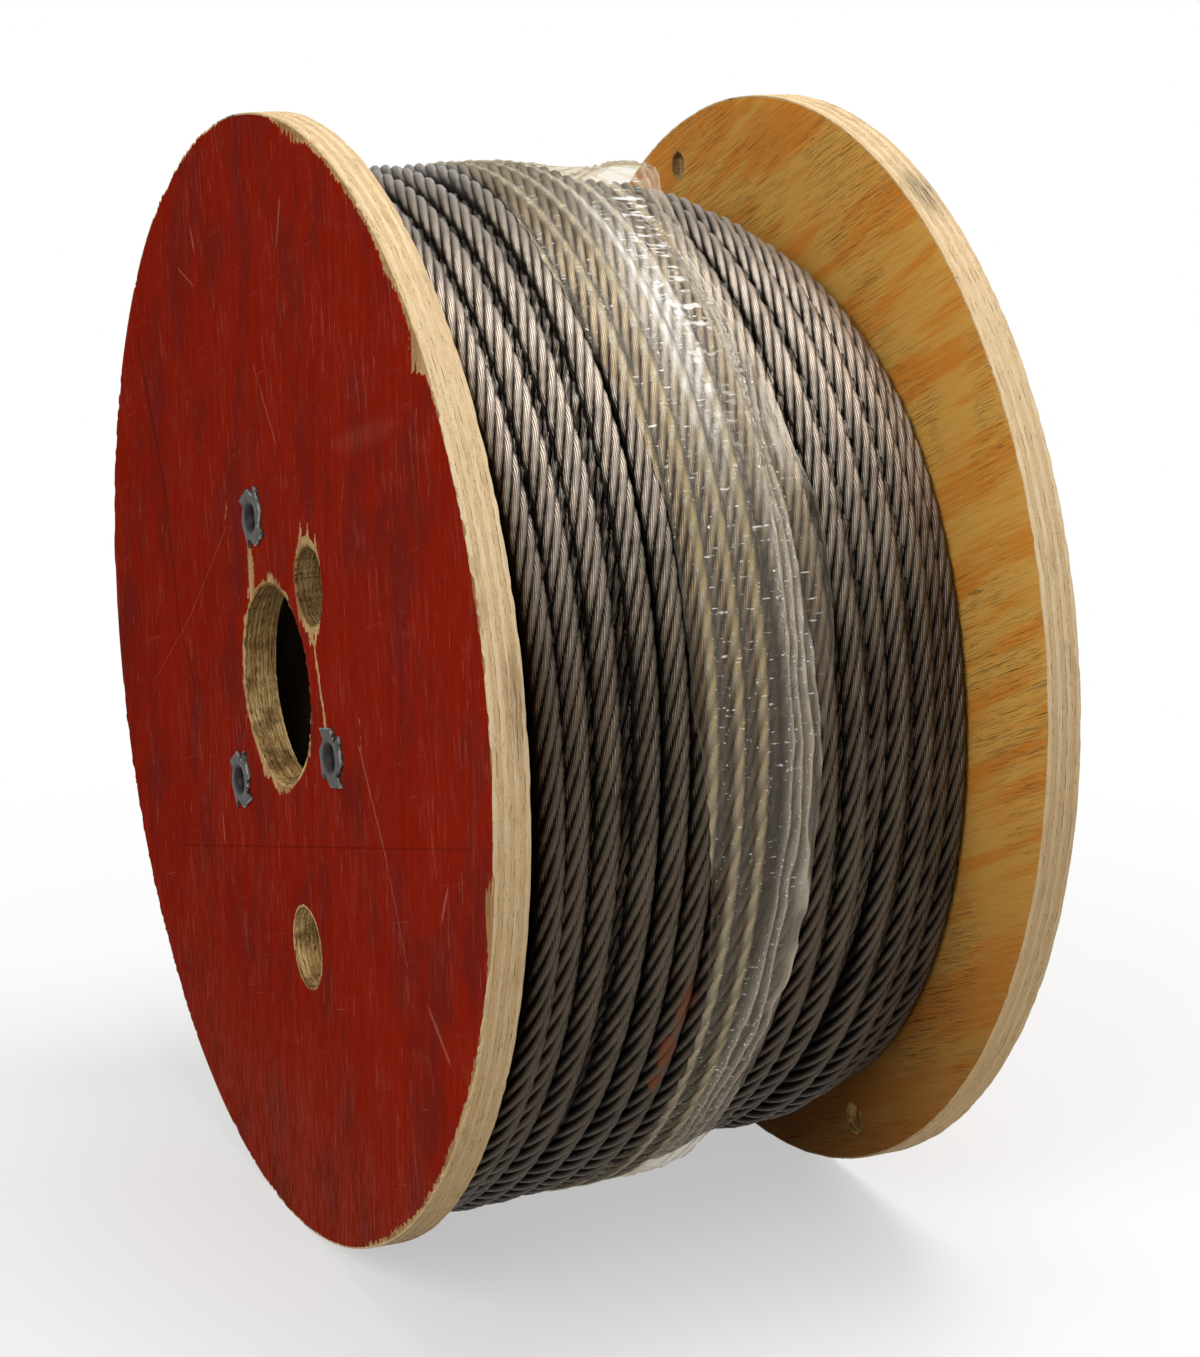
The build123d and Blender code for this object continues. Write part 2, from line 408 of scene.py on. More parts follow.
def outer_rope():
    """Angles, centre line and outward side of the outer layer, from the plain flange to the painted one."""
    rows = len(TURNS)
    whole = np.arange(ROPE_FROM, 360.0 * rows + ROPE_PAST, 360.0 / STEPS_PER_TURN)
    number = np.clip(np.floor((whole - 90) / 360), 0, rows - 1).astype(int)
    angle = whole - 360 * number
    x, radius = turn_at(rows - 1 - number, angle)
    radius = radius - TUCK_FIRST * np.where(number == 0, smooth((140 - angle) / 70), 0)
    radius = radius - TUCK_LAST * np.where(number == rows - 1, smooth((angle - 420) / 70), 0)
    return whole, *rope_line(x, radius, angle)


def rope_turns(material):
    """The outer layer of rope as three stretches of one continuous helix."""
    _, centre, outward = outer_rope()
    along = arc_length(centre)
    cuts = np.linspace(0, len(centre) - 1, 4).astype(int)
    for count, (first, last) in enumerate(zip(cuts, cuts[1:]), start=1):
        part = slice(first, last + 1)
        tubes = strand_tubes(centre, outward, along, STRAND_ANGLES, part)
        piece = mesh_piece(f"rope_turns_{count}", *tubes[:2], [material], tubes[2])
        on_drum(piece, "rope_winding")


def under_turns(material):
    """The turns of the layer below that show where the outer turns stand apart."""
    angle = np.linspace(*UNDER_SPAN, UNDER_STEPS)
    tubes = []
    for row in np.flatnonzero(np.diff(TURNS[:, 0]) > LOOSE_GAP):
        below = [turn_at(np.full(UNDER_STEPS, row + step), angle) for step in (0, 1)]
        x = (below[0][0] + below[1][0]) / 2
        radius = (below[0][1] + below[1][1]) / 2 - LAYER_DROP
        centre, outward = rope_line(x, radius, angle)
        tubes.append(strand_tubes(centre, outward, arc_length(centre), UNDER_ANGLES))
    points = np.concatenate([tube[0] for tube in tubes])
    faces = []
    for number, (tube, sides, _) in enumerate(tubes):
        faces += [[corner + number * len(tube) for corner in face] for face in sides]
    values = {label: np.concatenate([tube[2][label] for tube in tubes]) for label in tubes[0][2]}
    # painted shade: the turns below keep only a share of the outer turns' exposure, so they are painted
    # darker
    values["exposed"] = values["exposed"] * UNDER_WEAR_AND_SHADE
    piece = mesh_piece("rope_under", points, faces, [material], values)
    on_drum(piece, "rope_winding")


def rope_core(material):
    """The lower layers, as a ridged body behind the turns that show, painted near black as shade."""
    angle = np.arange(0, 360, 2.5)
    turn = np.where(angle < 90, angle + 360, angle)
    rows = np.arange(len(TURNS))
    x, radius = turn_at(rows[:, None], turn[None, :])
    x = np.concatenate([np.full((1, len(angle)), RED_INSIDE), x, np.full((1, len(angle)), PLAIN_INSIDE)])
    radius = np.concatenate([radius[:1], radius, radius[-1:]]) - CORE_DEPTH
    rings = round_drum(x, radius, angle[None, :])
    count, steps = rings.shape[:2]
    bore = np.full(steps, CORE_BORE_R)
    inside = [round_drum(np.full(steps, end), bore, angle) for end in (PLAIN_INSIDE, RED_INSIDE)]
    rings = np.concatenate([rings, np.array(inside), rings[:1]])
    quads = np.roll(ring_quads(count + 3, steps, True), 1, axis=1).tolist()
    values = {"wire": rings[..., 0] / 2, "exposed": np.full(rings.shape[:2], CORE_WEAR_AND_SHADE)}
    piece = mesh_piece("rope_core", rings.reshape(-1, 3), quads, [material], values)
    on_drum(piece, "rope_winding")


class Loop:
    """Closed line round a centre on a flange's face, with a radius at each angle."""

    def __init__(self, centre, radius, count, ragged=0.0, seed=0):
        self.centre = np.array(centre)
        self.turn = np.arange(count) * FULL_TURN / count
        self.reach = np.full(count, float(radius))
        if ragged:
            cells = self.turn / FULL_TURN * LATTICE
            self.reach += ragged * (patches(cells, cells * 0, seed) - 0.5)

    def points(self):
        """Points of the loop."""
        return self.centre + np.stack([self.reach * np.cos(self.turn), self.reach * np.sin(self.turn)], -1)

    def holds(self, points, spare=0.0):
        """Which of these points lie inside the loop."""
        offset = points - self.centre
        turn = np.arctan2(offset[:, 1], offset[:, 0]) % FULL_TURN
        reach = np.interp(turn, self.turn, self.reach, period=FULL_TURN)
        return np.hypot(offset[:, 0], offset[:, 1]) < reach + spare


def fill_face(rim, holes, scatter):
    """Flat triangles between the rim and the holes that pass through scattered points."""
    loops = [rim, *holes]
    edges, count = [], 0
    for loop in loops:
        size = len(loop.turn)
        edges += [(count + step, count + (step + 1) % size) for step in range(size)]
        count += size
    clear = rim.holds(scatter, -0.5)
    for hole in holes:
        clear &= ~hole.holds(scatter, 0.4)
    points = np.concatenate([loop.points() for loop in loops] + [scatter[clear]])
    found = delaunay_2d_cdt([Vector(point) for point in points.tolist()], edges, [], 0, 1e-6)
    flat = np.array([tuple(point) for point in found[0]])
    corners = np.array(found[2])
    middles = flat[corners].mean(axis=1)
    keep = rim.holds(middles)
    for hole in holes:
        keep &= ~hole.holds(middles)
    return flat, corners[keep]


def grid(low, high, step):
    """Points of a square grid over a box on a face, each moved a little off its place."""
    across = np.arange(low[0], high[0], step)
    up = np.arange(low[1], high[1], step)
    points = np.stack(np.meshgrid(across, up), -1).reshape(-1, 2)
    return points + np.random.default_rng(5).uniform(-0.3, 0.3, points.shape) * step


def rim_band(width, rings, steps):
    """Points in rings near a flange's rim."""
    reach = FLANGE_R - RIM_EASE - np.linspace(width / rings, width, rings)
    turn = np.arange(steps) * FULL_TURN / steps
    ring = np.stack([np.cos(turn), np.sin(turn)], -1)
    return (reach[:, None, None] * ring).reshape(-1, 2)


def ply_wall(loop, x_start, x_end, ease, relief, seed):
    """Points of a sawn edge through the plies, from one face to the other, ring by ring."""
    share = np.linspace(0, 1, WALL_RINGS + 1)[:, None]
    share = np.clip(share * (1 + 2 / WALL_RINGS) - 1 / WALL_RINGS, 0, 1)
    x = x_start + (x_end - x_start) * share
    cells = loop.turn[None, :] / FULL_TURN * LATTICE
    ply = np.floor(share * PLIES)
    rough = patches(cells * 1.0, ply * 7.3, seed) + 0.5 * patches(cells * 4.0, share * 40, seed + 1)
    line = np.abs(share * PLIES - np.round(share * PLIES)) < 0.16
    inner = (share > 0) & (share < 1)
    offset = np.where(inner, ease - relief * rough - np.where(line, relief * 0.6, 0.0), 0.0)
    reach = loop.reach[None, :] + offset
    y = loop.centre[0] + reach * np.cos(loop.turn)
    z = loop.centre[1] + reach * np.sin(loop.turn)
    return np.stack([np.broadcast_to(x, y.shape), y, z], -1)


def ring_quads(rings, count, flip):
    """Faces between rings of points that close on themselves."""
    index = np.arange(rings * count).reshape(rings, count)
    beside = np.roll(index, -1, axis=1)
    order = (index[:-1], index[1:], beside[1:], beside[:-1])
    return np.stack(order[::-1] if flip else order, -1).reshape(-1, 4)


def flange(name, faces_x, holes, sinks, scatters, materials, values):
    """A plywood disc: two faces with their damage, the sawn rim and the walls of the holes."""
    rim = Loop((0, 0), FLANGE_R - RIM_EASE, RIM_STEPS)
    inward = np.sign(faces_x[1] - faces_x[0])
    bundle = bmesh.new()

    def add(points, faces, slot):
        made = [bundle.verts.new(Vector(point)) for point in (points * MM).tolist()]
        for face in faces.tolist():
            bundle.faces.new([made[corner] for corner in face]).material_index = slot

    def level(side, spots):
        return faces_x[side] + sinks[side](spots[:, 0], spots[:, 1]) * inward * (1 - 2 * side)

    for side in (0, 1):
        flat, corners = fill_face(rim, holes, scatters[side])
        turned = corners if (side == 0) == (inward < 0) else corners[:, ::-1]
        add(np.column_stack([level(side, flat), flat]), turned, 2 * side)
    for number, loop in enumerate([rim, *holes]):
        edge = loop.points()
        ease, relief = (RIM_EASE, RIM_RELIEF) if number == 0 else (-HOLE_EASE, HOLE_RELIEF)
        wall = ply_wall(loop, level(0, edge), level(1, edge), ease, relief, 30 + number)
        flip = (number > 0) == (inward > 0)
        add(wall.reshape(-1, 3), ring_quads(*wall.shape[:2], flip), 1 if number == 0 else 3)
    bmesh.ops.remove_doubles(bundle, verts=bundle.verts, dist=2e-6)
    bmesh.ops.recalc_face_normals(bundle, faces=bundle.faces)
    mesh = bpy.data.meshes.new(name)
    bundle.to_mesh(mesh)
    bundle.free()
    place = np.zeros(len(mesh.vertices) * 3)
    mesh.vertices.foreach_get("co", place)
    y, z = place.reshape(-1, 3).T[1:] / MM
    piece = shown(mesh, materials, {label: function(y, z) for label, function in values.items()})
    mesh.set_sharp_from_angle(angle=math.radians(FLANGE_CREASE))
    return piece


def middle_of(node):
    """Middle of a CAD node across the arbor."""
    low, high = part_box(node)
    middle = (low + high) / 2 / MM
    return middle.y, middle.z


def hole(name, ragged, seed):
    """Loop of one of the record's drilled holes."""
    mount = MOUNTS[name]
    centre = (mount["pos_m"][1] / MM, mount["pos_m"][2] / MM)
    radius = mount["dims"]["r_mm"] + HOLE_EASE
    return Loop(centre, radius, max(96, int(radius * 8)), ragged, seed)


# Where the paint and its ply are torn off the painted face: places are right and up from the
# arbor, as seen from outside. Strips have half widths at both ends. Tears at the rim have an
# angle, a spread in degrees and a size.
TORN_STRIPS = (
    ((-27.0, 48.0), (-25.0, 28.0), 3.0, 4.8),
    ((40.5, 28.0), (52.0, -3.0), 1.6, 1.2),
    ((32.0, 19.0), (39.5, -6.0), 0.7, 0.4),
    ((-51.0, 58.0), (-54.0, 50.0), 0.8, 0.5),
    ((86.0, 8.0), (87.0, -2.0), 0.5, 0.6),
)
RIM_TEARS = ((-8.3, 6.5, 5.0), (44.2, 3.2, 6.0), (82.0, 7.0, 3.2), (58.0, 34.0, 1.9), (20.0, 11.0, 1.1))
RIM_TEARS += ((-38.0, 30.0, 1.5), (-60.0, 14.0, 1.6), (120.0, 20.0, 1.0), (200.0, 40.0, 0.8))


def torn(y, z):
    """How bare the painted face is: 0 is painted, 1 is torn down to the next ply."""
    right, up = -y, z
    reach = np.hypot(right, up)
    turn = np.degrees(np.arctan2(up, right))
    spike = patches(right / 0.9, up / 20, 11)
    width = 0.3 + 0.9 * patches(turn / 3.0 + 200, up * 0, 12)
    for middle, spread, size in RIM_TEARS:
        offset = (turn - middle + 180) % 360 - 180
        width = width + size * hump(offset / spread)
    bare = (width * (0.35 + 1.2 * spike) - (FLANGE_R - reach)) / 0.9
    drive = hole("drive_hole", 0, 0)
    aside = right + drive.centre[0]
    half = np.sqrt(np.maximum(drive.reach[0] ** 2 - aside**2, 0))
    beside = hump(aside / (drive.reach[0] + 1.5)) ** 0.5
    over = (3 + 11 * patches(right / 1.9, up * 0, 13) ** 2) * beside - (up - drive.centre[1] - half)
    under = (2 + 9 * patches(right / 1.7, up * 0, 14) ** 2) * beside - (drive.centre[1] - half - up)
    bare = np.maximum(bare, np.minimum(np.where(up > drive.centre[1], over, under) / 0.9, beside * 4))
    for start, end, first, last in TORN_STRIPS:
        run = np.subtract(end, start)
        share = ((right - start[0]) * run[0] + (up - start[1]) * run[1]) / (run**2).sum()
        held = np.clip(share, 0, 1)
        away = np.hypot(right - start[0] - held * run[0], up - start[1] - held * run[1])
        bare = np.maximum(bare, ((first + (last - first) * held) * (0.5 + spike) - away) / 0.7)
    lip = 1.0 + 5.0 * hump((turn + 100) / 45) * patches(right / 1.5, up * 0, 15)
    bare = np.maximum(bare, (lip - (reach - ARBOR_R)) / 0.8)
    return np.clip(bare, 0, 1)


def torn_depth(y, z):
    """Depth of the torn places on the painted face."""
    return TEAR_DEPTH * smooth(torn(y, z))


def worn_depth(y, z):
    """Shallow dents in a bare face, deeper at the rim."""
    edge = smooth((np.hypot(y, z) - FLANGE_R + 5) / 5)
    return 0.12 * patches(y / 9, z / 9, 21) + 0.5 * edge * patches(y / 4, z / 4, 22) ** 2


def painted_flange(materials):
    """Near flange, with red paint on its outside face."""
    holes = [Loop((0, 0), ARBOR_R + HOLE_EASE, 320, 0.5, 1), hole("drive_hole", 1.0, 2)]
    holes.append(hole("rope_start_hole", 0.5, 3))
    for number in (1, 2, 3):
        holes.append(Loop(middle_of(f"through_bolt_{number}"), NUT_SEAT_R + HOLE_EASE, 64))
    rough = [grid((-FLANGE_R, -FLANGE_R), (FLANGE_R, FLANGE_R), FACE_STEP)]
    fine = [rim_band(7.0, 9, 1080), grid((-60, -10), (-16, 72), 0.8), grid((14, 20), (38, 60), 1.0)]
    fine += [grid((-36, -46), (30, -26), 0.9), grid((48, 48), (56, 60), 0.8), grid((-90, -4), (-84, 10), 0.8)]
    outside = np.concatenate(rough + fine)
    faces_x = (RED_FACE, RED_INSIDE)
    sinks = (torn_depth, worn_depth)
    scatters = (outside, rough[0])
    piece = flange("painted_flange", faces_x, holes, sinks, scatters, materials, {"bare": torn})
    on_drum(piece, "flange_red")


def bare_flange(materials):
    """Far flange of bare plywood."""
    holes = [Loop((0, 0), ARBOR_R + HOLE_EASE, 320, 0.5, 6)]
    holes += [hole("rope_end_hole_1", 0.6, 7), hole("rope_end_hole_2", 0.6, 8)]
    rough = grid((-FLANGE_R, -FLANGE_R), (FLANGE_R, FLANGE_R), FACE_STEP)
    inside = np.concatenate([rough, rim_band(5.0, 5, 900)])
    faces_x = (PLAIN_FACE, PLAIN_INSIDE)
    sinks = (worn_depth, worn_depth)
    piece = flange("bare_flange", faces_x, holes, sinks, (inside, inside), materials, {})
    on_drum(piece, "flange_plain")


# Stretch film: its edges along the arbor at angles round the drum, from the top over the front,
# and the edges of the bunched ridge in it. Beyond the ridge a loose flap lies on the next turn.
FILM_ANGLES = (90, 104, 118, 130, 141, 150, 160, 168, 176, 190, 204, 216, 230, 244, 300, 360, 450)
FILM_LEFT = (-30, -36, -39, -36, -31, -28, -28, -28, -27, -21, -18, -19, -23, -36, -38, -35, -30)
FILM_RIGHT = (45, 27, 19, 21, 23, 27, 27, 24, 18, 16, 12, 8, 7, 12, 26, 38, 45)
RIDGE_LEFT = (37, 19, 10, 11, 8, 6, 5, 4, 3, 0, -5, -9, -10, -8, 8, 26, 37)
RIDGE_RIGHT = (45, 27, 19, 20, 16, 16, 16, 17, 18, 16, 12, 8, 7, 12, 26, 38, 45)
FILM_STEPS = 720
FILM_ACROSS = 90
FILM_LIFT = 0.35
RIDGE_H = 2.0
RIDGES = 3.6
# Angles and reaches of what shows on the film: pleats, painted white glare, painted glints on loose
# folds, the flap, and the calm stretch of the ridge underneath.
PLEATS = (118, 42)
GLEAM = (126, 32)
SLACK = (114, 40)
FLAP = (142, 9)
CALM = (262, 48)


def upper_hull(x, height):
    """Height of a sheet pulled tight over a profile."""
    kept = []
    for point in zip(x, height):
        while len(kept) > 1:
            (x0, h0), (x1, h1) = kept[-2:]
            if (h1 - h0) * (point[0] - x0) > (point[1] - h0) * (x1 - x0):
                break
            kept.pop()
        kept.append(point)
    return np.interp(x, *zip(*kept))


def strand_relief(run, angle, offset):
    """Height of every turn's strands at these offsets from its line, and nearness to a strand's crown."""
    turns = np.arange(len(TURNS))
    along = np.interp(360 * (len(TURNS) - 1 - turns) + angle, *run)
    around = np.arcsin(np.clip(offset / ROPE_R, -1, 1))
    sixth = FULL_TURN / STRANDS
    aside = (around + FULL_TURN * along / LAY + sixth / 2) % sixth - sixth / 2
    reach = HELIX_R * np.cos(aside) + np.sqrt(STRAND_R**2 - np.square(HELIX_R * np.sin(aside)))
    return reach * np.cos(around), smooth(1 - np.abs(aside) / (sixth / 2))


def film_row(angle, run):
    """One line of points across the film, with its values for shading."""
    share = np.linspace(0, 1, FILM_ACROSS)
    here = np.full(FILM_ACROSS, angle)
    left, right, ridge_left, ridge_right = (
        np.interp(angle, FILM_ANGLES, edge) for edge in (FILM_LEFT, FILM_RIGHT, RIDGE_LEFT, RIDGE_RIGHT)
    )
    wander = patches(here / 5, here * 0, 41)[0] - 0.5
    x = left + 1.6 * wander + (right - left) * share
    turns = np.arange(len(TURNS))
    place, radius = turn_at(turns, np.full(len(turns), angle))
    offset = x[:, None] - place
    relief, crown = strand_relief(run, angle, offset)
    across = (x - ridge_left) / (ridge_right - ridge_left)
    taut = smooth((across - 0.7) / 0.3)[:, None]
    covered = np.sqrt(np.maximum(ROPE_R**2 - np.square(offset), 0.0))
    height = (radius + relief + (covered - relief) * taut).max(axis=1)
    closest = np.abs(offset).argmin(axis=1)[:, None]
    nearest = np.take_along_axis(offset, closest, 1)[:, 0] / ROPE_R
    crown = np.take_along_axis(crown, closest, 1)[:, 0]
    tight = upper_hull(x, height)
    bunch = smooth(across / 0.25) * smooth((1.04 - across) / 0.1)
    drift = patches(here / 13, across * 2 + 20, 43) + 0.35 * patches(here / 3, across * 4 + 20, 44)
    crest = 1 - np.abs(np.sin(math.pi * (RIDGES * across + 1.5 * drift)))
    crest = crest * (1 - 0.75 * near(angle, CALM))
    pleat = 0.45 * patches(here / 1.1, x / 9, 45) * smooth((across + 1.6) / 1.2) * near(angle, PLEATS)
    tug = 0.12 * patches(here / 2.0, x / 7, 46)
    cling = 0.6 * np.clip(tight - height, 0, 2.2) * (1 - bunch)
    reach = tight - cling + FILM_LIFT + bunch * (RIDGE_H * crest**1.4 + 0.3) + pleat + tug
    span = np.clip((tight - height) / 2.6, 0, 1)
    over = smooth((across - 1.0) / 0.15)
    values = {
        "bunch": bunch * (0.25 + 0.75 * crest**1.4),
        "span": span,
        "amber": hump((nearest - 0.35) / 0.6) * (1 - 0.4 * crown) * (1 - 0.7 * bunch) * (1 - over),
        # painted highlight: white glare on the strand crowns under the film, round the GLEAM angles
        "gleam": (0.25 + 0.75 * crown) * near(angle, GLEAM) * hump((x + 6) / 15) * (1 - bunch),
        "slack": smooth((across + 1.7) / 0.4) * smooth((0.1 - across) / 0.3) * near(angle, SLACK),
        "flap": over * (0.1 + 0.9 * near(angle, FLAP)),
        "rim": np.maximum(smooth(1 - share / 0.02), smooth(1 - (1 - share) / 0.02)),
    }
    return round_drum(x, reach, here), values


def stretch_film(material):
    """Band of clear film, pulled over the middle turns and bunched into a ridge at its right."""
    whole, centre, _ = outer_rope()
    run = (whole, arc_length(centre))
    rows = [film_row(90 + 360 * step / FILM_STEPS, run) for step in range(FILM_STEPS)]
    points = np.array([row[0] for row in rows])
    values = {label: np.array([row[1][label] for row in rows]) for label in rows[0][1]}
    steps, across = points.shape[:2]
    index = np.arange(steps * across).reshape(steps, across)
    after = np.roll(index, -1, axis=0)
    quads = np.stack([index[:, :-1], after[:, :-1], after[:, 1:], index[:, 1:]], -1).reshape(-1, 4)
    piece = mesh_piece("film_band", points.reshape(-1, 3), quads.tolist(), [material], values)
    on_drum(piece, "stretch_film")


# Tee-nut plate: corners of one of its four lobes, right and up from the bolt
NUT_LOBE = ((-9.9, 8.3), (0.0, 10.7), (5.3, 6.6))
NUT_LOBES = 4
NUT_T = 1.5
NUT_HOLE_R = 4.1
NUT_SEAT_R = 5.0
NUT_FLARE_R = 6.3
NUT_BARREL_L = 9.0


def nut_outline():
    """Corners of a tee-nut's pinwheel outline, right and up from the bolt."""
    corners = []
    for lobe in range(NUT_LOBES):
        turn = math.radians(-90 * lobe)
        for right, up in NUT_LOBE:
            across = right * math.cos(turn) - up * math.sin(turn)
            corners.append((across, right * math.sin(turn) + up * math.cos(turn)))
    return np.array(corners)


def tee_nut(number, spin, lift, material):
    """Notched steel plate with a flared hole, pressed into the painted face."""
    corners = nut_outline()
    steps = 12
    after = np.roll(corners, -1, axis=0)
    share = np.linspace(0, 1, steps, endpoint=False)[:, None]
    outline = (corners[:, None] + (after - corners)[:, None] * share).reshape(-1, 2)
    turn = np.arctan2(outline[:, 1], outline[:, 0])
    reach = np.hypot(outline[:, 0], outline[:, 1])
    lobe = np.clip((reach - NUT_FLARE_R) / 6, 0, 1)
    bend = lift * lobe**2 * np.maximum(np.cos(turn - 1.9), 0)
    sag = 0.35 * lobe**2
    rings = (
        (NUT_HOLE_R - 0.1, -NUT_BARREL_L),
        (NUT_HOLE_R, -1.2),
        (NUT_HOLE_R + 0.5, 0.3),
        (NUT_FLARE_R - 0.7, NUT_T - 0.2),
        (NUT_FLARE_R, NUT_T),
        (NUT_FLARE_R + (reach - NUT_FLARE_R) * 0.5, NUT_T + 0.4 * bend),
        (reach - 0.35, NUT_T + bend - sag),
        (reach, NUT_T - 0.3 + bend - sag),
        (reach, bend * 0.6 - 0.2),
    )
    middle_y, middle_z = middle_of(f"tee_nut_{number}")
    angle = turn + math.radians(spin)
    points = []
    for size, height in rings:
        y = middle_y - size * np.cos(angle)
        z = middle_z + size * np.sin(angle)
        points.append(np.stack([np.full_like(angle, RED_FACE) - height, y, z], -1))
    quads = ring_quads(len(rings), len(reach), False).tolist()
    values = {
        "edge": np.repeat((0, 0, 0, 0.2, 0.7, 0.3, 0.8, 1, 0.6), len(reach)),
        "hollow": np.repeat((1, 1, 1, 0.8, 0.2, 0, 0, 0, 0.4), len(reach)),
    }
    piece = mesh_piece(f"nut_plate_{number}", np.concatenate(points), quads, [material], values)
    piece.data.set_sharp_from_angle(angle=math.radians(30))
    on_drum(piece, f"tee_nut_{number}")


# Marks in the paint, right and up from the arbor: ends, half width and, for scratches, strength
SCRATCHES = (
    ((-52, 48), (-100, 4), 0.35, 0.3),
    ((-100, 4), (-149, -32), 0.3, 0.25),
    ((86, -2), (109, -33), 0.6, 0.55),
    ((109, -33), (128, -66), 0.5, 0.35),
    ((17, 174), (13, 160), 1.1, 0.4),
    ((-15, 113), (6, 90), 0.8, 0.3),
    ((160, -39), (164, -30), 1.2, 0.4),
    ((149, -76), (163, -86), 1.5, 0.35),
    ((-66, -68), (-65, -75), 1.0, 0.6),
    ((-84, 153), (-82, 149), 1.4, 0.5),
    ((78, 101), (112, 111), 6.0, 0.07),
    ((-101, 138), (-84, 134), 0.6, 0.35),
)
DARK_STREAKS = (((-157, 102), (-129, 50), 2.2), ((-129, 50), (-114, -4), 1.6), ((-114, -4), (-96, -24), 1.2))
LEDGE = ((-124, -95), (184, -10), 0.45)


def red_paint():
    """Thin red paint over vertical grain, scuffed and scratched, and bare wood where it is torn."""
    look = Look("red_paint")
    fine = look.noise((0.6, 0.6, 9), 0, 5.0, 0.7)
    streak = look.noise((3.2, 3.2, 70), 1.2, 4.0, 0.62)
    broad = look.noise((34, 34, 60), 8, 5.0, 0.66)
    look.colour = look.blend(look.band(streak, 0.3, 0.7), (0.243, 0.0118, 0.0042), (0.285, 0.0148, 0.0053))
    look.stain(broad, 0.47, 0.64, 0.7, (0.15, 0.0155, 0.011))
    look.stain(broad, 0.42, 0.28, 0.5, (0.31, 0.018, 0.0062))
    look.stain(fine, 0.56, 0.76, 0.3, (0.36, 0.043, 0.022))
    look.stain(fine, 0.42, 0.26, 0.5, (0.1, 0.0065, 0.003))
    fleck = look.noise((1.1, 1.1, 13), -2, 2.0, 0.5, (0.3, 0.1, 0.2))
    look.stain(fleck, 0.7, 0.78, 0.55, (0.5, 0.18, 0.11))
    lower = look.band(look.z, 0.09, -0.13, 0.35, 1.0)
    hair = look.noise((0.45, 0.45, 26), 0.5, 3.0, 0.6, (0.2, 0.7, 0.3))
    rubbed = look.noise((26, 26, 44), 0, 3.0, 0.6, (0.8, 0.3, 0.6))
    pale_hair = look.both((hair, 0.56, 0.7), (rubbed, 0.42, 0.66, 0.12, 0.75))
    look.lay(look.times(pale_hair, lower), (0.43, 0.1, 0.065))
    crack = look.noise((0.4, 0.4, 17), -0.5, 2.0, 0.5, (0.6, 0.1, 0.8))
    dark_crack = look.both((crack, 0.34, 0.27), (rubbed, 0.4, 0.6, 0.3, 0.85))
    look.lay(look.times(dark_crack, lower), (0.055, 0.0055, 0.0035))
    smear = look.noise((9, 9, 12), 40, 4.0, 0.7, (0.1, 0.6, 0.4))
    look.stain(smear, 0.58, 0.78, 0.3, (0.33, 0.07, 0.05))
    look.lay(look.both((look.z, -0.1, -0.2, 0.0, 0.55), (fine, 0.45, 0.62)), (0.34, 0.085, 0.05))
    scuff = look.noise((2.4, 2.4, 17), -9, 5.0, 0.75, (0.5, 0.9, 0.2))
    look.lay(look.both((scuff, 0.52, 0.7), (rubbed, 0.4, 0.62, 0.1, 0.7)), (0.37, 0.075, 0.05))
    for turn in (24, -33, 71):
        thread = look.noise((0.35, 0.35, 34), turn, 1.0, 0.5, (turn, 0.3, 0.4))
        thin = look.both((thread, 0.76, 0.79), (smear, 0.4, 0.6, 0.1, 0.5))
        look.lay(thin, (0.5, 0.19, 0.13))
    for start, end, half, share in SCRATCHES:
        mark = look.times(look.line(start, end, half), look.band(streak, 0.3, 0.6, share * 0.5, share))
        look.lay(mark, (0.55, 0.22, 0.15))
    for start, end, half in DARK_STREAKS:
        look.lay(look.times(look.line(start, end, half), 0.55), (0.07, 0.013, 0.009))
    look.lay(look.times(look.line(*LEDGE), 0.5), (0.09, 0.008, 0.005))
    grain = look.noise((1.1, 1.1, 60), 0, 4.0, 0.65)
    late_wood = look.total(look.noise((9, 9, 160), 0, 2.0), 0.6, look.times(grain, 0.5))
    wood = look.blend(look.band(late_wood, 0.42, 0.68), (0.54, 0.35, 0.16), (0.31, 0.165, 0.062))
    look.lay(look.band(look.total(fine, 0.6, look.value("bare")), 0.55, 0.78), wood)
    normal = look.bump(look.total(fine, 0.6, look.times(streak, 0.4)), 0.45)
    return look.done(rough=look.band(fine, 0.3, 0.7, 0.46, 0.66), normal=normal)


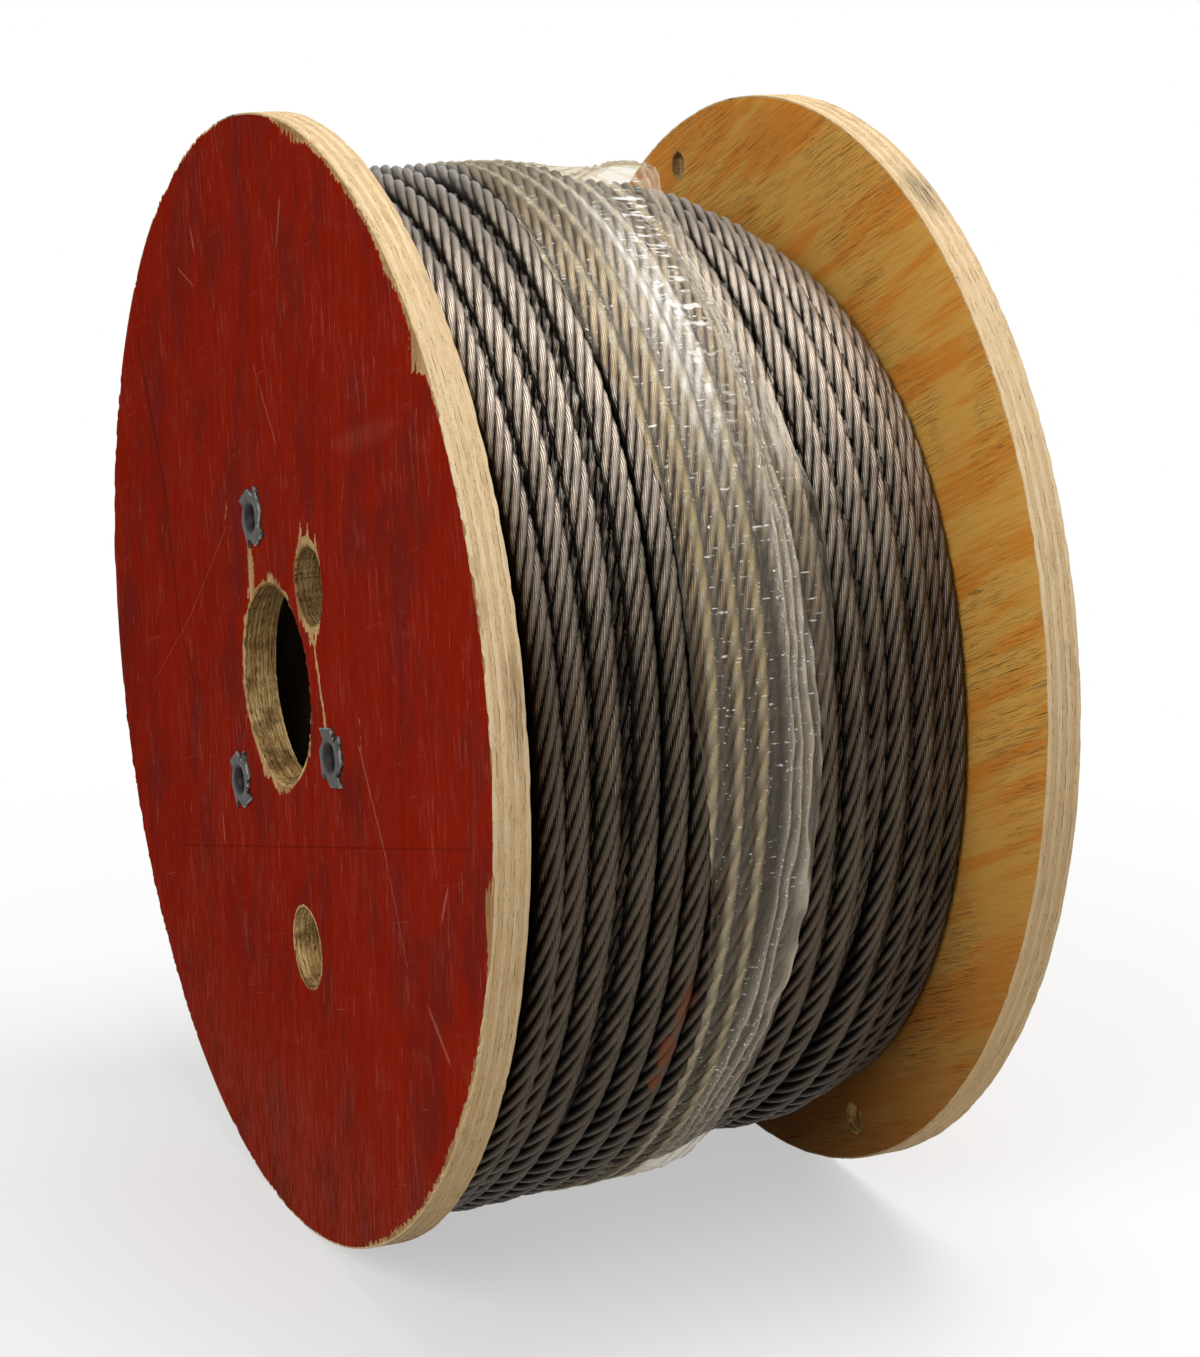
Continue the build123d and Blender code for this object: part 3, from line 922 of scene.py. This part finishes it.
def ply_edge(name, x_start, x_end, stains=()):
    """Sawn edge of plywood: plies that show long and end grain in turn, glue lines and small gaps."""
    look = Look(name)
    wave = look.noise((400, 22, 22), 0, 3.0)
    scale = PLIES / (x_end - x_start) / MM
    shifted = look.math("SUBTRACT", look.x, x_start * MM)
    ply = look.math("ADD", look.times(shifted, scale), look.total(wave, 0.5, -0.25))
    part = look.math("FRACT", look.math("ADD", ply, 0.5))
    near_line = look.math("ABSOLUTE", look.math("SUBTRACT", part, 0.5))
    layer = look.math("MODULO", look.math("FLOOR", ply), 2.0)
    reach = look.math("SQRT", look.total(look.y, look.y, look.times(look.z, look.z)))
    upright = look.math("DIVIDE", look.math("ABSOLUTE", look.z), look.math("MAXIMUM", reach, 0.001))
    endgrain = look.math("ABSOLUTE", look.math("SUBTRACT", layer, look.band(upright, 0.45, 0.9)))
    speck = look.noise((0.45, 0.6, 0.6), 0, 4.0, 0.72)
    long = look.noise((0.6, 10, 10), 0, 4.0, 0.65)
    look.colour = look.blend(look.band(long, 0.3, 0.7), (0.86, 0.69, 0.45), (0.75, 0.53, 0.29))
    ends = look.blend(look.band(speck, 0.35, 0.65), (0.76, 0.56, 0.32), (0.52, 0.33, 0.15))
    look.lay(look.times(endgrain, 0.7), ends)
    dirt = look.noise((9, 22, 22), 0, 5.0, 0.7)
    look.stain(dirt, 0.52, 0.78, 0.65, (0.38, 0.245, 0.12))
    pits = look.noise((0.8, 1.6, 1.6), 0, 3.0, 0.6, (0.7, 0.2, 0.3))
    look.stain(pits, 0.66, 0.76, 0.75, (0.17, 0.1, 0.05))
    gap = look.noise((2.0, 9, 9), 0, 3.0, 0.65, (0.1, 0.4, 0.0))
    seam = look.both((near_line, 0.06, 0.012), (gap, 0.5, 0.66, 0.05, 1.0))
    look.lay(seam, (0.11, 0.058, 0.025))
    # painted shade: a darker tan band on the lower side of the rim, fading out at the very bottom
    middle = look.both((look.z, 0.06, -0.05), (look.z, -0.19, -0.13, 0.0, 0.4))
    look.lay(middle, (0.5, 0.32, 0.14))
    check = look.noise((0.45, 4.5, 4.5), 0, 2.0, 0.55, (0.6, 0.3, 0.9))
    look.stain(check, 0.35, 0.28, 0.7, (0.2, 0.105, 0.042))
    for centre, size, tint, share in stains:
        mark = look.times(look.spot(centre, size), look.band(long, 0.35, 0.65, 0.3 * share, share))
        look.lay(mark, tint)
    height = look.total(speck, 0.5, look.times(long, 0.5))
    normal = look.bump(look.math("SUBTRACT", height, look.times(seam, 0.8)), 0.5)
    return look.done(rough=0.8, normal=normal)


def sawn_hole():
    """Rough, darkened walls of the holes through the plies."""
    look = Look("sawn_hole")
    rings = look.noise((1.3, 30, 30), 0, 4.0, 0.65)
    fuzz = look.noise((0.7, 0.9, 0.9), 0, 4.0, 0.72)
    stain = look.noise((9, 9, 9), 0, 3.0, 0.6)
    cracks = look.noise((0.9, 5, 5), 0, 3.0, 0.65, (0.3, 0.8, 0.5))
    look.colour = look.blend(look.band(rings, 0.38, 0.62), (0.86, 0.6, 0.26), (0.52, 0.3, 0.1))
    look.stain(stain, 0.42, 0.68, 0.75, (0.15, 0.065, 0.022))
    look.stain(fuzz, 0.56, 0.74, 0.7, (0.08, 0.035, 0.013))
    look.stain(fuzz, 0.42, 0.28, 0.5, (0.9, 0.66, 0.34))
    look.stain(cracks, 0.42, 0.32, 0.85, (0.045, 0.02, 0.008))
    shaded = look.both((look.z, -0.035, 0.03, 0.0, 0.6), (look.x, 0.0, -0.05))
    look.lay(shaded, (0.11, 0.05, 0.018))
    height = look.total(fuzz, 0.6, look.math("ADD", rings, cracks))
    return look.done(rough=0.9, normal=look.bump(height, 1.0))


def fir_face():
    """Bare fir plywood: gold and orange figure drawn out along the fibres, and torn grain."""
    look = Look("fir_face")
    turn = 66
    ring_step = 0.011
    fine = look.noise((0.7, 0.5, 26), turn, 5.0, 0.68)
    blotch = look.noise((60, 15, 125), turn - 6, 3.0, 0.5)
    across = look.total(look.y, 0.39 / ring_step, look.times(look.z, 0.92 / ring_step))
    rings = look.math("SINE", look.total(blotch, 17.0, across))
    streaks = look.noise((1.3, 0.8, 46), turn, 4.0, 0.62, (0.2, 0.5, 0.7))
    figure = look.total(streaks, 5.5, look.total(blotch, 1.2, rings))
    look.colour = look.blend(look.band(figure, 2.1, 4.8), (0.73, 0.4, 0.085), (0.7, 0.255, 0.034))
    look.stain(fine, 0.45, 0.28, 0.6, (0.34, 0.12, 0.018))
    look.stain(fine, 0.6, 0.76, 0.35, (0.66, 0.4, 0.14))
    tear = look.noise((1.0, 0.4, 22), turn, 2.0, 0.5, (0.9, 0.2, 0.4))
    rough_place = look.noise((50, 50, 50), 0, 2.0, 0.5, (0.5, 0.5, 0.1))
    torn_here = look.both((tear, 0.61, 0.69), (rough_place, 0.42, 0.6))
    look.lay(look.times(torn_here, 0.75), (0.8, 0.53, 0.22))
    split = look.both((tear, 0.36, 0.3), (rough_place, 0.42, 0.6))
    look.lay(look.times(split, 0.5), (0.2, 0.07, 0.015))
    cross = look.noise((1.0, 0.4, 15), 4, 2.0, 0.5, (0.4, 0.1, 0.9))
    crossed = look.both((cross, 0.7, 0.77), (blotch, 0.5, 0.4))
    look.lay(look.times(crossed, 0.6), (0.75, 0.45, 0.17))
    # painted shade: the face is darker towards the bottom
    look.stain(look.z, 0.05, -0.17, 0.72, (0.22, 0.085, 0.024))
    height = look.math("ADD", look.times(fine, 0.5), look.math("SUBTRACT", torn_here, split))
    normal = look.bump(height, 0.6)
    return look.done(rough=0.6, normal=normal, shine=0.02)


RUST_SPOTS = (
    ((-25, -176, -78), (6, 16, 17)),
    ((-28, -168, -96), (6, 14, 14)),
    ((-29, -160, -109), (5, 8, 8)),
)


def rope_steel():
    """Oiled steel wire: fine wires, lighter on the outside as wear, painted shade with grime in the grooves,
    painted light with dust on the upper turns, a rust patch.
    """
    look = Look("rope_steel")
    phase = look.times(look.value("wire"), math.pi)
    crown = look.math("ABSOLUTE", look.math("SINE", phase))
    exposed = look.value("exposed")
    grime = look.noise((16, 16, 16), 0, 4.0, 0.62)
    speck = look.noise((1.0, 1.0, 1.0), 0, 3.0, 0.7)
    # wear and painted shade: the strands are painted dark on their sides and in the grooves between strands
    # and turns, and lighter on the outside, with grime at random
    wear_and_shade = look.total(grime, 0.4, look.times(exposed, 0.8))
    # painted light with dust: the crests are lighter on the upper part of the drum
    dust_and_top_light = look.both((look.z, 0.03, 0.13), (look.z, 0.18, 0.14, 0.32, 1.0))
    crest = look.blend(dust_and_top_light, (0.115, 0.087, 0.062), (0.5, 0.42, 0.34))
    look.colour = look.blend(look.band(wear_and_shade, 0.68, 1.02), (0.011, 0.008, 0.0055), crest)
    # painted shade: dark lines in the grooves between the wires
    look.stain(crown, 0.6, 0.1, 0.55, (0.014, 0.01, 0.007))
    look.stain(speck, 0.6, 0.75, 0.3, (0.07, 0.05, 0.033))
    rust = 0.0
    for centre, size in RUST_SPOTS:
        rust = look.math("MAXIMUM", look.spot(centre, size), rust)
    rusty = look.band(look.total(speck, 0.8, rust), 0.58, 1.05, 0.0, 0.85)
    rusty = look.times(rusty, look.band(exposed, 0.3, 0.6))
    look.lay(rusty, (0.19, 0.06, 0.022))
    metal = look.times(look.math("SUBTRACT", 1.0, rusty), look.band(wear_and_shade, 0.4, 0.9, 0.4, 0.7))
    rough = look.total(grime, 0.2, 0.24)
    normal = look.bump(crown, 0.1)
    return look.done(rough=rough, metal=metal, normal=normal, shine=0.1)


def clear_film():
    """Clear stretch film: amber on a turn's side, hazy where it spans, white folds where it bunches, and
    painted white glints and glare.
    """
    look = Look("clear_film")
    bunch = look.value("bunch")
    amber = look.value("amber")
    span = look.value("span")
    gleam = look.value("gleam")
    fold = look.noise((1.6, 14, 14), 0, 5.0, 0.7)
    crease = look.noise((10, 0.8, 0.8), 0, 2.0, 0.5)
    # painted glints: short white marks across the creases where the film spans, and on its loose folds near
    # the top
    ticks = look.both((crease, 0.65, 0.71), (span, 0.08, 0.35))
    pucker = look.noise((13, 3.2, 3.2), 0, 3.0, 0.6, (0.4, 0.1, 0.7))
    folds = look.times(look.band(pucker, 0.53, 0.585), look.value("slack"))
    white = look.math("MAXIMUM", ticks, folds)
    parts = ((bunch, 0.5), (span, 0.12), (look.band(fold, 0.55, 0.72), 0.08))
    parts += ((look.value("flap"), look.band(fold, 0.35, 0.62, 0.25, 0.75)), (look.value("rim"), 0.08))
    # painted highlight: the white glare and the glints also make the film less clear where they lie
    parts += ((amber, 0.74), (look.times(gleam, look.band(fold, 0.36, 0.6, 0.35, 1.0)), 0.7), (white, 0.65))
    haze_and_glare = 0.01
    for value, share in parts:
        haze_and_glare = look.total(value, share, haze_and_glare)
    haze_and_glare = look.math("MINIMUM", haze_and_glare, 0.9)
    look.colour = look.blend(amber, (0.66, 0.56, 0.42), (0.42, 0.275, 0.016))
    # painted highlights: the glints and the white glare laid on in near white
    look.lay(look.math("MAXIMUM", white, gleam), (0.88, 0.86, 0.82))
    normal = look.bump(look.total(fold, 0.7, look.times(crease, 0.35)), 0.8)
    look.done(rough=0.15, normal=normal, shine=1.0)
    look.shader.inputs["IOR"].default_value = 1.75
    clear = look.node("ShaderNodeBsdfTransparent")
    clear.inputs["Color"].default_value = (0.95, 0.905, 0.79, 1.0)
    look.mixed(haze_and_glare, clear, look.shader)
    return look.material


def dull_zinc(name):
    """Dull zinc on pressed steel, lighter on its edges as rubbed wear and painted highlight, and painted dark
    in its hollows as shade.
    """
    look = Look(name)
    cloud = look.noise((3, 3, 3), 0, 4.0, 0.65)
    speck = look.noise((0.5, 0.5, 0.5), 0, 3.0, 0.7)
    look.colour = look.blend(look.band(cloud, 0.35, 0.7), (0.03, 0.029, 0.028), (0.085, 0.082, 0.079))
    look.stain(speck, 0.6, 0.72, 0.5, (0.06, 0.045, 0.035))
    # rubbed wear and painted highlight: the flare and the outer edges are lighter
    edge_rub_and_highlight = look.times(look.band(look.value("edge"), 0.7, 1.0), look.band(cloud, 0.4, 0.6))
    look.lay(edge_rub_and_highlight, (0.42, 0.4, 0.37))
    # painted shade: the hole and the plate's underside edge are darkened
    look.lay(look.times(look.value("hollow"), 0.8), (0.014, 0.011, 0.009))
    rough = look.total(cloud, 0.3, 0.36)
    normal = look.bump(look.total(cloud, 0.6, look.times(speck, 0.4)), 0.12)
    return look.done(rough=rough, metal=0.5, normal=normal, shine=0.2)


def fibre_board():
    """Wound fibre tube seen through the arbor hole, painted near black as the shade inside it."""
    look = Look("fibre_board")
    wound = look.noise((7, 60, 60), 0, 3.0)
    fuzz = look.noise((0.8, 0.8, 0.8), 0, 4.0, 0.7)
    # painted shade: the tube is coloured near black for the dark inside it
    look.colour = look.blend(look.band(wound, 0.35, 0.65), (0.05, 0.03, 0.02), (0.09, 0.056, 0.036))
    look.stain(fuzz, 0.55, 0.75, 0.5, (0.15, 0.1, 0.065))
    return look.done(rough=0.9, normal=look.bump(fuzz, 0.25), shine=0.5)


def dress(node, material):
    """Gives a CAD node its finished material."""
    piece = frame["nodes"][node]
    piece.data.materials.clear()
    piece.data.materials.append(material)


def seen_directly(tree):
    """1 for what the camera sees, directly or in a reflection or through film."""
    path = tree.nodes.new("ShaderNodeLightPath")
    seen = path.outputs["Is Camera Ray"]
    for name in ("Is Glossy Ray", "Is Transmission Ray"):
        most = tree.nodes.new("ShaderNodeMath")
        most.operation = "MAXIMUM"
        tree.links.new(seen, most.inputs[0])
        tree.links.new(path.outputs[name], most.inputs[1])
        seen = most.outputs[0]
    return seen


def floor():
    """Large pale floor under the drum: it takes the drum's shadow, and further off it is white."""
    half = 7000.0
    level = -FLANGE_R
    points = [(-half, -half, level), (half, -half, level), (half, half, level), (-half, half, level)]
    look = Look("pale_floor")
    seen = seen_directly(look.tree)
    look.colour = look.blend(seen, (0.6, 0.59, 0.57), (0.9, 0.9, 0.9))
    look.done(rough=0.9, shine=0.1)
    far = look.band(look.length(look.place), 0.25, 0.65, 0.5, 1.0)
    look.mixed(look.times(far, seen), look.shader, look.node("ShaderNodeEmission"))
    mesh_piece("floor", points, [(0, 1, 2, 3)], [look.material], {})


def surroundings():
    """White all round for the eye, and a softer even light on the drum."""
    world = bpy.data.worlds.new("studio")
    bpy.context.scene.world = world
    world.use_nodes = True
    tree = world.node_tree
    background = tree.nodes["Background"]
    background.inputs["Color"].default_value = (1, 1, 1, 1)
    strength = tree.nodes.new("ShaderNodeMix")
    strength.inputs[2].default_value = 0.29
    strength.inputs[3].default_value = 1.0
    tree.links.new(seen_directly(tree), strength.inputs[0])
    tree.links.new(strength.outputs[0], background.inputs["Strength"])


def aimed(data, place, target):
    """Object of a lamp or camera at a place, facing a point."""
    holder = bpy.data.objects.new(data.name, data)
    holder.location = place
    holder.rotation_euler = (Vector(target) - holder.location).to_track_quat("-Z", "Y").to_euler()
    bpy.context.scene.collection.objects.link(holder)
    return holder


def softbox(name, place, target, size, power):
    """Square area lamp that faces a point."""
    lamp = bpy.data.lights.new(name, "AREA")
    lamp.shape = "SQUARE"
    lamp.size = size
    lamp.energy = power
    aimed(lamp, place, target)


def lights():
    """One softbox overhead, one further off on the painted side and a faint one behind."""
    softbox("overhead", (0.3, -0.1, 1.6), (0.0, 0.0, 0.0), 1.1, 20.5)
    softbox("painted_side", (-1.5, -1.2, 1.1), (0.0, 0.0, 0.05), 1.2, 23.0)
    softbox("behind", (1.4, 1.3, 0.9), (0.0, 0.0, 0.0), 1.2, 6.0)


def camera():
    """The photograph's viewpoint, level, with the frame's height as its long side."""
    data = bpy.data.cameras.new("view")
    data.lens = 86.42
    data.sensor_width = 36.0
    bpy.context.scene.camera = aimed(data, (-0.4702, -1.0804, 0.2908), (0.0231, 0.0, -0.0112))


def drum():
    """Every piece of the drum with its finish."""
    steel = rope_steel()
    rope_turns(steel)
    under_turns(steel)
    rope_core(steel)
    near_stains = (((-96, -196, 40), (5, 20, 34), (0.2, 0.1, 0.045), 0.8),)
    far_stains = (((100, -100, 178), (8, 26, 16), (0.05, 0.045, 0.04), 0.8),)
    near_edge = ply_edge("near_edge", RED_FACE, RED_INSIDE, near_stains)
    far_edge = ply_edge("far_edge", PLAIN_INSIDE, PLAIN_FACE, far_stains)
    fir = fir_face()
    walls = sawn_hole()
    painted_flange([red_paint(), near_edge, fir, walls])
    bare_flange([fir, far_edge, fir, walls])
    stretch_film(clear_film())
    zinc = dull_zinc("pressed_zinc")
    for number, (spin, lift) in enumerate(((22, 0.5), (-70, 0.2), (0, 0.3)), start=1):
        tee_nut(number, spin, lift, zinc)
    for number in (1, 2, 3):
        dress(f"through_bolt_{number}", dull_zinc(f"bolt_zinc_{number}"))
    dress("barrel_tube", fibre_board())


bpy.context.scene.view_settings.view_transform = "Standard"
drum()
floor()
surroundings()
lights()
camera()
